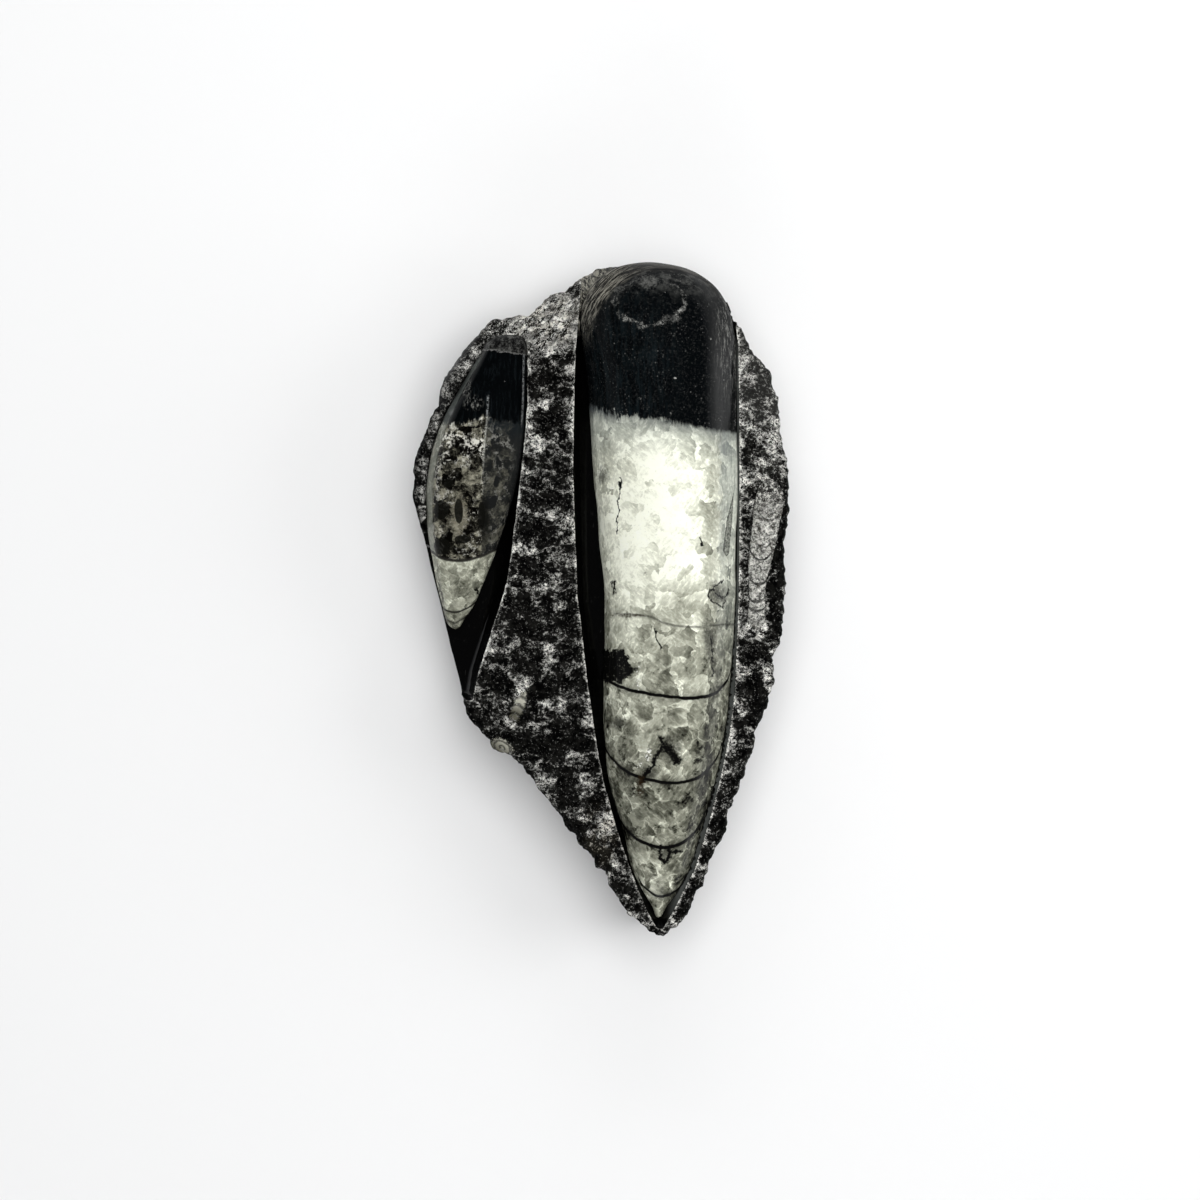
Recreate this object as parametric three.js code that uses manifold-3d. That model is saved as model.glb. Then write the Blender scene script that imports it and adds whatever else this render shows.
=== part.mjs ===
// A carved and polished orthoceras fossil in its black limestone, lying on its sawn back.
// Three straight nautiloid shells are held in one slab of stone:
//   matrix            the limestone slab, with a worked face and a polished channel round each raised shell
//   large_orthocone   the main shell, a blunt-ended cone that stands half out of the face
//   small_orthocone   a second, smaller shell in a polished trough that opens on the slab's left edge
//   side_orthocone    a third shell, cut off level with the worked face by the right margin
// Millimetres. +X is right, +Y runs from the pointed end to the blunt end, +Z is out of the worked face.
// The origin is under the middle of the piece, on its back.

import * as THREE from "three";
import { mergeVertices } from "three/addons/utils/BufferGeometryUtils.js";
import Module from "manifold-3d";

const wasm = await Module();
wasm.setup();

// Driving dimensions.
const FACE_AT_BLUNT_END = 23.0; // height of the worked face at the blunt end
const FACE_FALL = 0.026; // radians by which the face and the large shell fall towards the pointed end
const FACE_HINGE_Y = 60; // where along the slab the face has its full height
const SHOULDER = { x: -14, y: 56, z: 23, turn: 0.45, fall: 0.6 }; // the broken corner beyond the small shell
const SLAB_BLANK = 25; // thickness of the slab before its face is cut
const EDGE_CHAMFER_DEEP = 6; // the broken edge, along Z
const EDGE_CHAMFER_WIDE = 2.5; // the broken edge, across the slab
const SOCKET_GAP = 0.3; // clearance between a shell and the stone round it
const CHANNEL_FLOOR = 17.5; // polished floor beside the large shell
const TROUGH_FLOOR = 15.5; // polished floor of the small shell's trough
const LARGE_AXIS = { x: 13.3, z: 21.0 };
const LARGE_BOW = { rise: 2.2, middle: 5, reach: 45 }; // the shell's slight curve to the right
const SMALL_AXIS = { x: -27.2, y: 26, z: 19.2, turn: -0.16, fall: 0.05, flatten: 0.85 };
const SIDE_AXIS = { x: 36.1, y: 12, turn: -0.11, below_face: 0.9 };
const CUTTER_SIZE = 400; // larger than the slab every way

// The slab's outline, round the piece from the blunt end. Its corners are where the stone broke.
const OUTLINE = [
  [10, 73.5], [0, 72.5], [-4, 70.5], [-10, 68], [-16.5, 62.9], [-23.5, 62.3],
  [-29, 57], [-33.5, 51.5], [-35.9, 46], [-39.8, 37], [-42, 29], [-42, 24],
  [-39.5, 14], [-36, 0], [-32, -16.5], [-29.5, -25.5], [-23, -33.7], [-19.8, -35.2],
  [-16.5, -37.8], [-10.5, -46], [-5, -54], [0.5, -60.5], [6, -70], [11, -74.2],
  [13, -75], [16, -73], [20.3, -70.1], [20.7, -66.2], [24.2, -60], [28.1, -50.5],
  [32, -39], [35.5, -29], [38, -20], [39, -16.5], [38.6, -13.5], [40.5, -4.5],
  [41.5, 4.5], [40.6, 7.5], [42, 21], [41.2, 33], [40, 43], [37.5, 51],
  [33.8, 55], [32, 59.5], [29.5, 63.5], [27.5, 67.5], [22.5, 71], [16, 73],
];

// Rims of the two channels in the worked face.
const CHANNEL_RIM = [
  [-5, 63], [-5.9, 40], [-5.8, 20], [-5.1, 0], [-2.5, -20], [1.2, -40], [7.2, -60],
  [13, -71], [16, -70], [21.7, -60], [27.5, -40], [30.2, -20], [31.4, 0], [31.4, 20],
  [30.9, 40], [30.2, 63], [28, 80], [-2, 80],
];
const TROUGH_RIM = [
  [-17, 57.5], [-15.8, 42], [-18, 20], [-22, 0], [-26.5, -15], [-29.5, -24],
  [-45, -24], [-45, -2], [-37.5, 2], [-38.5, 12], [-39.2, 22], [-38, 33], [-33.5, 46],
  [-27, 57.5],
];

// Half-profiles of the shells, [radius, place along the shell], from the point to the blunt end.
const LARGE_PROFILE = [
  [0, -71], [2.4, -68], [6.1, -60], [9.5, -50], [11.8, -40], [13.2, -30], [14.2, -12],
  [15.3, 10], [16.1, 35], [16.3, 56], [15.4, 64], [13.4, 69.5], [10, 73], [5, 74.7], [0, 75],
];
const SMALL_PROFILE = [
  [0, -33], [1.9, -30.5], [4.2, -25], [6.6, -17], [8.8, -8], [9.9, 3], [9.6, 14],
  [7.7, 24], [5.2, 30], [2.6, 33], [0, 34],
];
const SIDE_PROFILE = [
  [0, -17], [1.3, -13], [2.4, -2], [3.2, 12], [3.1, 16], [1.8, 18.5], [0, 19],
];

// A closed three.js geometry as a solid that can be cut and joined.
function solidOf(geometry) {
  const bare = geometry.index ? geometry.toNonIndexed() : geometry.clone();
  bare.deleteAttribute("normal");
  bare.deleteAttribute("uv");
  const merged = mergeVertices(bare, 1e-3);
  return new wasm.Manifold(
    new wasm.Mesh({
      numProp: 3,
      vertProperties: merged.attributes.position.array,
      triVerts: new Uint32Array(merged.index.array),
    }),
  );
}

// A solid as a three.js geometry.
function geometryOf(solid) {
  const made = solid.getMesh();
  const geometry = new THREE.BufferGeometry();
  geometry.setAttribute("position", new THREE.BufferAttribute(made.vertProperties, 3));
  geometry.setIndex(new THREE.BufferAttribute(made.triVerts, 1));
  geometry.computeVertexNormals();
  return geometry;
}

function shapeOf(points) {
  return new THREE.Shape(points.map(([x, y]) => new THREE.Vector2(x, y)));
}

// A round shell with its long axis on Y. grow is added all round it.
function shell(profile, segments, grow = 0) {
  const last = profile.length - 1;
  const line = profile.map(([radius, along], i) => {
    const end = i === 0 ? -grow : i === last ? grow : 0;
    return new THREE.Vector2(radius === 0 ? 0 : radius + grow, along + end);
  });
  return new THREE.LatheGeometry(line, segments);
}

// Curves a shell to the right, most at the middle of the bow.
function bowed(geometry) {
  const place = geometry.attributes.position;
  for (let i = 0; i < place.count; i++) {
    const away = (place.getY(i) - LARGE_BOW.middle) / LARGE_BOW.reach;
    place.setX(i, place.getX(i) + LARGE_BOW.rise * Math.exp(-away * away));
  }
  return geometry;
}

function placedLarge(grow) {
  return bowed(shell(LARGE_PROFILE, 44, grow))
    .translate(LARGE_AXIS.x, -FACE_HINGE_Y, 0)
    .rotateX(FACE_FALL)
    .translate(0, FACE_HINGE_Y, LARGE_AXIS.z);
}

function placedSmall(grow) {
  return shell(SMALL_PROFILE, 30, grow)
    .scale(1, 1, SMALL_AXIS.flatten)
    .rotateX(SMALL_AXIS.fall)
    .rotateZ(SMALL_AXIS.turn)
    .translate(SMALL_AXIS.x, SMALL_AXIS.y, SMALL_AXIS.z);
}

function faceHeight(y) {
  return FACE_AT_BLUNT_END + Math.tan(FACE_FALL) * (y - FACE_HINGE_Y);
}

function placedSide(grow) {
  return shell(SIDE_PROFILE, 20, grow)
    .rotateZ(SIDE_AXIS.turn)
    .translate(SIDE_AXIS.x, SIDE_AXIS.y, faceHeight(SIDE_AXIS.y) - SIDE_AXIS.below_face);
}

// Everything above the worked face, to cut away. lift raises it.
function aboveFace(lift = 0) {
  const half = CUTTER_SIZE / 2;
  return solidOf(
    new THREE.BoxGeometry(CUTTER_SIZE, CUTTER_SIZE, CUTTER_SIZE)
      .translate(0, 0, half)
      .rotateX(FACE_FALL)
      .translate(0, FACE_HINGE_Y, FACE_AT_BLUNT_END + lift),
  );
}

// The waste beyond the broken corner, which slopes down from the worked face to the edge.
function beyondShoulder() {
  const half = CUTTER_SIZE / 2;
  return solidOf(
    new THREE.BoxGeometry(CUTTER_SIZE, CUTTER_SIZE, CUTTER_SIZE)
      .translate(0, half, half)
      .rotateX(-SHOULDER.fall)
      .rotateZ(SHOULDER.turn)
      .translate(SHOULDER.x, SHOULDER.y, SHOULDER.z),
  );
}

// An upright cutter of the rim's shape, from the floor up.
function channel(rim, floor) {
  const cut = new THREE.ExtrudeGeometry(shapeOf(rim), { depth: SLAB_BLANK, bevelEnabled: false });
  return solidOf(cut.translate(0, 0, floor));
}

function slab() {
  const blank = new THREE.ExtrudeGeometry(shapeOf(OUTLINE), {
    depth: SLAB_BLANK - 2 * EDGE_CHAMFER_DEEP,
    bevelEnabled: true,
    bevelThickness: EDGE_CHAMFER_DEEP,
    bevelSize: EDGE_CHAMFER_WIDE,
    bevelOffset: -EDGE_CHAMFER_WIDE,
    bevelSegments: 2,
  });
  return solidOf(blank.translate(0, 0, EDGE_CHAMFER_DEEP)).subtract(aboveFace());
}

function matrixSolid() {
  return slab()
    .subtract(beyondShoulder())
    .subtract(channel(CHANNEL_RIM, CHANNEL_FLOOR))
    .subtract(channel(TROUGH_RIM, TROUGH_FLOOR))
    .subtract(solidOf(placedLarge(SOCKET_GAP)))
    .subtract(solidOf(placedSmall(SOCKET_GAP)))
    .subtract(solidOf(placedSide(SOCKET_GAP)));
}

function stone(name, geometry, colour, roughness) {
  const material = new THREE.MeshStandardMaterial({ color: colour, roughness, metalness: 0 });
  const mesh = new THREE.Mesh(geometry, material);
  mesh.name = name;
  return mesh;
}

const fossil = new THREE.Group();
fossil.name = "orthoceras_fossil";
fossil.add(
  stone("matrix", geometryOf(matrixSolid()), 0x1f1f1e, 0.7),
  stone("large_orthocone", placedLarge(0), 0xd9d8d0, 0.2),
  stone("small_orthocone", placedSmall(0), 0x6b675c, 0.2),
  stone("side_orthocone", geometryOf(solidOf(placedSide(0)).subtract(aboveFace())), 0x9a9992, 0.6),
);

export default fossil;
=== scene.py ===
import math
from functools import reduce

import bpy
import numpy as np
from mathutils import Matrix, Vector, noise
from mathutils.geometry import delaunay_2d_cdt
from mathutils.kdtree import KDTree


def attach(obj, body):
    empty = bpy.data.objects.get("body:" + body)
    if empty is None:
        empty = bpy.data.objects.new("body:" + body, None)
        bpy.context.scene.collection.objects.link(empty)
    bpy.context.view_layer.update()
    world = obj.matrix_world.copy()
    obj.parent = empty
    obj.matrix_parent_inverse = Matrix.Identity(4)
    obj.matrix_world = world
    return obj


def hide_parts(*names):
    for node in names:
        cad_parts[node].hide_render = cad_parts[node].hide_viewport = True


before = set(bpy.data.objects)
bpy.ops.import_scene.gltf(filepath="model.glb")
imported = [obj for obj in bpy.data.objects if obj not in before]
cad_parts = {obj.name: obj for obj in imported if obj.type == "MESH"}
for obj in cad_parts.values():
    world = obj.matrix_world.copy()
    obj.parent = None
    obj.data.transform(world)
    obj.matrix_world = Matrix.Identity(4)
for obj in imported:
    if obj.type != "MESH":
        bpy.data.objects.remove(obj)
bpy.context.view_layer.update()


# ---------------------------------------------------------------------------------------------
# The large shell. A straight nautiloid, its chambers filled with white calcite and its open
# living chamber with black mud, now stone. It was ground half out of the slab by hand, which
# left soft flats along its flanks, and then polished.

MM = 0.001  # every size below is in millimetres
LARGE_SHELL = [  # place along the shell, its left edge and its right edge
    (-71, 13, 13), (-68, 11.4, 15.2), (-65, 9.6, 17.3), (-60, 7.2, 20), (-50, 4.7, 22.9),
    (-40, 2, 25.8), (-30, 0.8, 27.8), (-20, 0.8, 28.9), (0, 1.0, 30), (20, -0.7, 30.5),
    (40, -2.2, 30.4), (50, -2.8, 30.3), (56, -3.7, 30.2), (62, -4.4, 29.4), (67, -3.6, 27.5),
    (71, -0.9, 24.1), (73.7, 3.4, 19), (74.8, 8, 13.6), (75, 10.8, 10.8),
]
LARGE_TOP_AXIS = 21.0  # height of the axis at the blunt end
SLAB_FALL = 0.026  # slope of the face and the shell towards the pointed end, in radians
FALL_FROM = 60  # the place along the slab that the slope is counted from
LARGE_FLATS = [(math.radians(58), 0.045, 0.03)]  # tilt, depth and softness of each ground flat
SKIN_PITCH = 0.75  # distance between the points of a polished skin


def smooth_through(stations, at):
    """A smooth curve through given stations: each column's value at the places asked for."""
    stations = np.array(stations, float)
    places, values = stations[:, 0], stations[:, 1:]
    slopes = np.gradient(values, places, axis=0)
    k = np.clip(np.searchsorted(places, at) - 1, 0, len(places) - 2)
    run = places[k + 1] - places[k]
    t = ((at - places[k]) / run)[:, None]
    run = run[:, None]
    rise = values[k + 1] - values[k]
    bend_in = slopes[k] * run - rise
    bend_out = rise - slopes[k + 1] * run
    return values[k] + t * rise + t * (1 - t) * ((1 - t) * bend_in + t * bend_out)


def middle_and_square(stations, at):
    """A shell's middle, and the square of its half-width, at the places asked for."""
    edges = [(y, (left + right) / 2, ((right - left) / 2) ** 2) for y, left, right in stations]
    return smooth_through(edges, at).T


def shell_rings(stations, pitch):
    """Places along a shell at an even pitch over its skin, with the middle and half-width there."""
    y = np.linspace(stations[0][0], stations[-1][0], 4000)
    middle, square = middle_and_square(stations, y)
    half = np.sqrt(np.maximum(square, 0))
    along = np.r_[0, np.cumsum(np.hypot(np.diff(y), np.diff(half)))]
    at = np.linspace(0, along[-1], round(along[-1] / pitch))
    return [np.interp(at, along, column) for column in (y, middle, half)]


def section(angles, flats):
    """How far the skin is from the axis, by angle from straight up, for a radius of 1."""
    reach = np.ones_like(angles)
    for tilt, depth, softness in flats:
        flat = (1 - depth) / np.maximum(np.cos(angles - tilt), 0.3)
        gap = np.maximum(softness - np.abs(reach - flat), 0) / softness
        reach = np.minimum(reach, flat) - gap**2 * softness / 4
    return reach


def shell_skin(name, stations, axis_height, flatten, flats, around, wander):
    """A closed shell with even quads, unrolled on its OFBake map with the seam underneath."""
    y, middle, half = shell_rings(stations, SKIN_PITCH)
    angles = np.linspace(-math.pi, math.pi, around, endpoint=False)
    reach = section(angles, flats)
    vertices = []
    for i in range(1, len(y) - 1):
        for angle, share in zip(angles, reach):
            out = half[i] * share
            x = middle[i] + out * math.sin(angle)
            z = axis_height(y[i]) + out * flatten * math.cos(angle)
            waver = wander * noise.noise(Vector((x, y[i], z)) / 9) * min(1, half[i] / 6)
            vertices.append((x + waver * math.sin(angle), y[i], z + waver * math.cos(angle)))
    rows = len(y) - 2
    point, blunt = len(vertices), len(vertices) + 1
    vertices.append((middle[0], y[0], axis_height(y[0])))
    vertices.append((middle[-1], y[-1], axis_height(y[-1])))
    faces, map_places = [], []
    for i in range(rows - 1):
        for j in range(around):
            k = (j + 1) % around
            faces.append((i * around + j, i * around + k, (i + 1) * around + k, (i + 1) * around + j))
            map_places += [(j, i + 1), (j + 1, i + 1), (j + 1, i + 2), (j, i + 2)]
    for j in range(around):
        k = (j + 1) % around
        faces.append((point, k, j))
        map_places += [(j + 0.5, 0), (j + 1, 1), (j, 1)]
        faces.append((blunt, (rows - 1) * around + j, (rows - 1) * around + k))
        map_places += [(j + 0.5, rows + 1), (j, rows), (j + 1, rows)]
    return made_piece(name, vertices, faces, np.array(map_places) / (around, rows + 1))


def made_piece(name, vertices, faces, map_places, sharp=math.radians(50)):
    """A mesh object in metres from points in millimetres, with its map and smooth shading."""
    mesh = bpy.data.meshes.new(name)
    mesh.from_pydata([(x * MM, y * MM, z * MM) for x, y, z in vertices], [], faces)
    layer = mesh.uv_layers.new(name="OFBake")
    layer.uv.foreach_set("vector", np.array(map_places, np.float32).ravel())
    mesh.validate()
    mesh.polygons.foreach_set("use_smooth", np.ones(len(mesh.polygons), bool))
    mesh.set_sharp_from_angle(angle=sharp)
    piece = bpy.data.objects.new(name, mesh)
    bpy.context.scene.collection.objects.link(piece)
    return piece


class Field:
    """A socket that holds a value all over a surface, so that sums on it are written as sums."""

    def __init__(self, nodes, socket):
        self.nodes = nodes
        self.socket = socket

    def out(self, name):
        return Field(self.nodes, self.socket.node.outputs[name])

    def maths(self, operation, *values, clamp=False):
        settings = {"operation": operation, "use_clamp": clamp}
        return self.nodes.add("ShaderNodeMath", settings, values)

    def __pow__(self, other):
        return self.maths("POWER", self, other)

    def __abs__(self):
        return self.maths("ABSOLUTE", self)

    def over(self, other):
        return self.maths("MAXIMUM", self, other)

    def under(self, other):
        return self.maths("MINIMUM", self, other)

    def held(self):
        return self.maths("ADD", self, 0, clamp=True)


def either_side(operation):
    """An operator's two methods: with the field on its left, and with it on its right."""
    def forwards(field, other):
        return field.maths(operation, field, other)

    def reflected(field, other):
        return field.maths(operation, other, field)

    return forwards, reflected


Field.__add__, Field.__radd__ = either_side("ADD")
Field.__sub__, Field.__rsub__ = either_side("SUBTRACT")
Field.__mul__, Field.__rmul__ = either_side("MULTIPLY")
Field.__truediv__, Field.__rtruediv__ = either_side("DIVIDE")


class Nodes:
    """A node tree that is filled one node at a time."""

    def __init__(self, tree):
        self.tree = tree

    def add(self, kind, settings=None, inputs=(), output=0):
        """Adds a node: its settings first, then the values or links of its sockets."""
        node = self.tree.nodes.new(kind)
        for name, value in (settings or {}).items():
            if name == "curve":
                line = node.mapping.curves[0]
                for spot in value[1:-1]:
                    line.points.new(*spot)
                line.points[0].location = value[0]
                line.points[-1].location = value[-1]
                node.mapping.update()
            else:
                setattr(node, name, value)
        for name, value in inputs.items() if isinstance(inputs, dict) else enumerate(inputs):
            if isinstance(value, Field):
                self.tree.links.new(value.socket, node.inputs[name])
            else:
                node.inputs[name].default_value = value
        return Field(self, node.outputs[output]) if node.outputs else None


class Finish(Nodes):
    """A stone's finish. Its patterns are laid out in millimetres in the piece's own space."""

    def __init__(self, name):
        self.material = bpy.data.materials.new(name)
        self.material.use_nodes = True
        super().__init__(self.material.node_tree)
        self.shader = self.tree.nodes["Principled BSDF"]
        metres = self.add("ShaderNodeTexCoord", output="Object")
        self.place = self.vector("SCALE", metres, scale=1 / MM)
        apart = self.add("ShaderNodeSeparateXYZ", {}, [self.place])
        self.x, self.y, self.z = apart.out("X"), apart.out("Y"), apart.out("Z")

    def vector(self, operation, *values, scale=None, output=0):
        inputs = dict(enumerate(values))
        if scale is not None:
            inputs["Scale"] = scale
        return self.add("ShaderNodeVectorMath", {"operation": operation}, inputs, output)

    def stretched(self, across, along, up, turn=0.0):
        """The place, turned in plan and then scaled along each axis."""
        turned = self.turned(self.place, turn) if turn else self.place
        return self.vector("MULTIPLY", turned, (across, along, up))

    def turned(self, place, angle):
        inputs = {0: place, "Angle": angle}
        return self.add("ShaderNodeVectorRotate", {"rotation_type": "Z_AXIS"}, inputs)

    def bent(self, per_mm, reach):
        """The place, pushed about in waves, of which so many fit in a millimetre."""
        inputs = {"Vector": self.place, "Scale": per_mm, "Detail": 3.0}
        push = self.add("ShaderNodeTexNoise", {}, inputs, "Color")
        push = self.vector("SUBTRACT", push, (0.5, 0.5, 0.5))
        return self.vector("ADD", self.place, self.vector("SCALE", push, scale=reach))

    def cloud(self, size, detail=2.0, rough=0.5, place=None, shift=0.0):
        """Soft noise from about 0.2 to 0.8, with patches of the given size."""
        where = place or self.place
        if shift:
            where = self.vector("ADD", where, (shift, -shift, 2 * shift))
        inputs = {"Vector": where, "Scale": 1 / size, "Detail": detail, "Roughness": rough}
        return self.add("ShaderNodeTexNoise", {}, inputs)

    def cells(self, size, feature="F1", place=None, output=0, metric="EUCLIDEAN"):
        settings = {"feature": feature}
        if feature != "DISTANCE_TO_EDGE":
            settings["distance"] = metric
        inputs = {"Vector": place or self.place, "Scale": 1 / size}
        return self.add("ShaderNodeTexVoronoi", settings, inputs, output)

    def rise(self, value, low, high):
        """0 below low and 1 above high, with a smooth step between; high may be the lower one."""
        settings = {"interpolation_type": "SMOOTHSTEP"}
        return self.add("ShaderNodeMapRange", settings, {"Value": value, 1: low, 2: high})

    def patches(self, low, high, size, detail=2.0, rough=0.5, place=None, shift=0.0):
        """A cloud drawn out into patches: 0 where it is below low, and 1 where it is above high."""
        return self.rise(self.cloud(size, detail, rough, place, shift), low, high)

    def blend(self, share, first, second):
        """The first colour where share is 0 and the second where it is 1. A bare number is a grey."""
        inputs = {0: share}
        for socket, colour in ((6, first), (7, second)):
            if isinstance(colour, float):
                colour = (colour, colour, colour)
            inputs[socket] = (*colour, 1) if isinstance(colour, tuple) else colour
        return self.add("ShaderNodeMix", {"data_type": "RGBA", "clamp_factor": True}, inputs, 2)

    def line_of(self, value, points):
        """A smooth curve through given points, read at value."""
        across, up = np.array(points, float).T
        low, high = (across[0], up.min()), (across[-1], up.max())
        span = (high[0] - low[0], high[1] - low[1])
        spots = [((a - low[0]) / span[0], (u - low[1]) / span[1]) for a, u in points]
        share = ((value - low[0]) / span[0]).held()
        return self.add("ShaderNodeFloatCurve", {"curve": spots}, {"Value": share}) * span[1] + low[1]

    def scratch(self, points, width, place=None):
        """1 along the middle of a line of straight stretches, falling to 0 at its width."""
        gaps = []
        for (x0, y0), (x1, y1) in zip(points, points[1:]):
            run = (x1 - x0, y1 - y0, 0)
            flat = self.vector("SUBTRACT", place or self.place, (x0, y0, 0))
            flat = self.vector("MULTIPLY", flat, (1, 1, 0))
            dot = self.vector("DOT_PRODUCT", flat, run, output="Value")
            share = dot.maths("DIVIDE", dot, run[0] ** 2 + run[1] ** 2, clamp=True)
            foot = self.vector("SCALE", run, scale=share)
            gaps.append(self.vector("DISTANCE", flat, foot, output="Value"))
        return (1 - reduce(Field.under, gaps) / width).held()

    def oval(self, x, y, across, along, place=None):
        """How far out a point lies in plan, counted in half-widths of an oval."""
        gap = self.vector("SUBTRACT", place or self.place, (x, y, 0))
        gap = self.vector("MULTIPLY", gap, (1 / across, 1 / along, 0))
        return self.vector("LENGTH", gap, output="Value")

    def spot(self, x, y, across, along, soft=0.5):
        """1 inside an oval in plan, fading to 0 over its edge."""
        return self.rise(self.oval(x, y, across, along), 1 + soft / 2, 1 - soft / 2)

    def patch(self, corners):
        """How far in plan a point lies inside a convex patch, whose corners run clockwise."""
        gaps = []
        for (x0, y0), (x1, y1) in zip(corners, corners[1:] + corners[:1]):
            side = math.hypot(x1 - x0, y1 - y0)
            across, along = (y1 - y0) / side, (x0 - x1) / side
            gaps.append(self.x * across + self.y * along - (x0 * across + y0 * along))
        return reduce(Field.under, gaps)

    def around(self):
        """Where a point lies round a shell: 0 on top, -1 and 1 on its left and right flanks."""
        unrolled = self.add("ShaderNodeUVMap", {"uv_map": "OFBake"})
        return (self.add("ShaderNodeSeparateXYZ", {}, [unrolled]) - 0.5) * 4

    def stone(self, level):
        """Calcite's own colour at a brightness of 0 to 1: cream when pale, olive when dark."""
        bright = (level.held() ** 2.2) * 0.92
        parts = [bright * 0.985, bright, bright * (0.72 + 0.13 * level)]
        return self.add("ShaderNodeCombineColor", {}, parts)

    def finish(self, colour, roughness, bump=None, depth=0.1, polish=None):
        """Puts the colour, the roughness, a relief in millimetres and a share of polish on the surface."""
        self.tree.links.new(colour.socket, self.shader.inputs["Base Color"])
        if polish is not None:
            self.shader.inputs["Specular IOR Level"].default_value = 0.0
            self.shader.inputs["Coat Roughness"].default_value = 0.13
            self.tree.links.new(polish.held().socket, self.shader.inputs["Coat Weight"])
        if isinstance(roughness, Field):
            self.tree.links.new(roughness.socket, self.shader.inputs["Roughness"])
        else:
            self.shader.inputs["Roughness"].default_value = roughness
        if bump is not None:
            inputs = {"Height": bump, "Distance": depth * MM, "Strength": 1.0}
            normal = self.add("ShaderNodeBump", {}, inputs)
            self.tree.links.new(normal.socket, self.shader.inputs["Normal"])
        return self.material


def calcite(f, tone, size):
    """Interlocking calcite crystals: how bright they are, round a base tone, and their edges."""
    bent = f.bent(1.35 / size, size * 0.9)
    # Each crystal has a brightness of its own and is brighter to one side, as light leaves it there.
    crystal = f.cells(size, place=bent, output="Color", metric="CHEBYCHEV")
    from_middle = f.vector("SUBTRACT", bent, crystal.out("Position"))
    facing = f.vector("SUBTRACT", crystal, (0.5, 0.5, 0.5))
    facet = f.vector("DOT_PRODUCT", from_middle, facing, output="Value") * (0.46 / size)
    big = f.add("ShaderNodeSeparateColor", {}, [crystal])
    small = f.add("ShaderNodeSeparateColor", {}, [f.cells(size * 0.4, place=bent, output="Color")])
    grain = f.cloud(0.8, 4, 0.72) - 0.5
    pick = f.rise(big.out("Green"), 0.45, 0.55)
    right = f.cloud(0.6, 3, 0.6, f.stretched(1.0, 0.3, 0.6, turn=0.7))
    left = f.cloud(0.6, 3, 0.6, f.stretched(1.0, 0.3, 0.6, turn=-0.9))
    streak = right * pick + left * (1 - pick)
    edge = f.rise(f.cells(size, "DISTANCE_TO_EDGE", bent), 0.07, 0.0)
    wisps = f.rise(streak, 0.52, 0.68) * 0.1 + (streak - 0.5) * 0.3
    level = tone + (big - 0.5) * 0.11 + facet + (small - 0.5) * 0.07 + grain * 0.34 + wisps - 0.02
    return level, edge, big.out("Blue")


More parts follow.
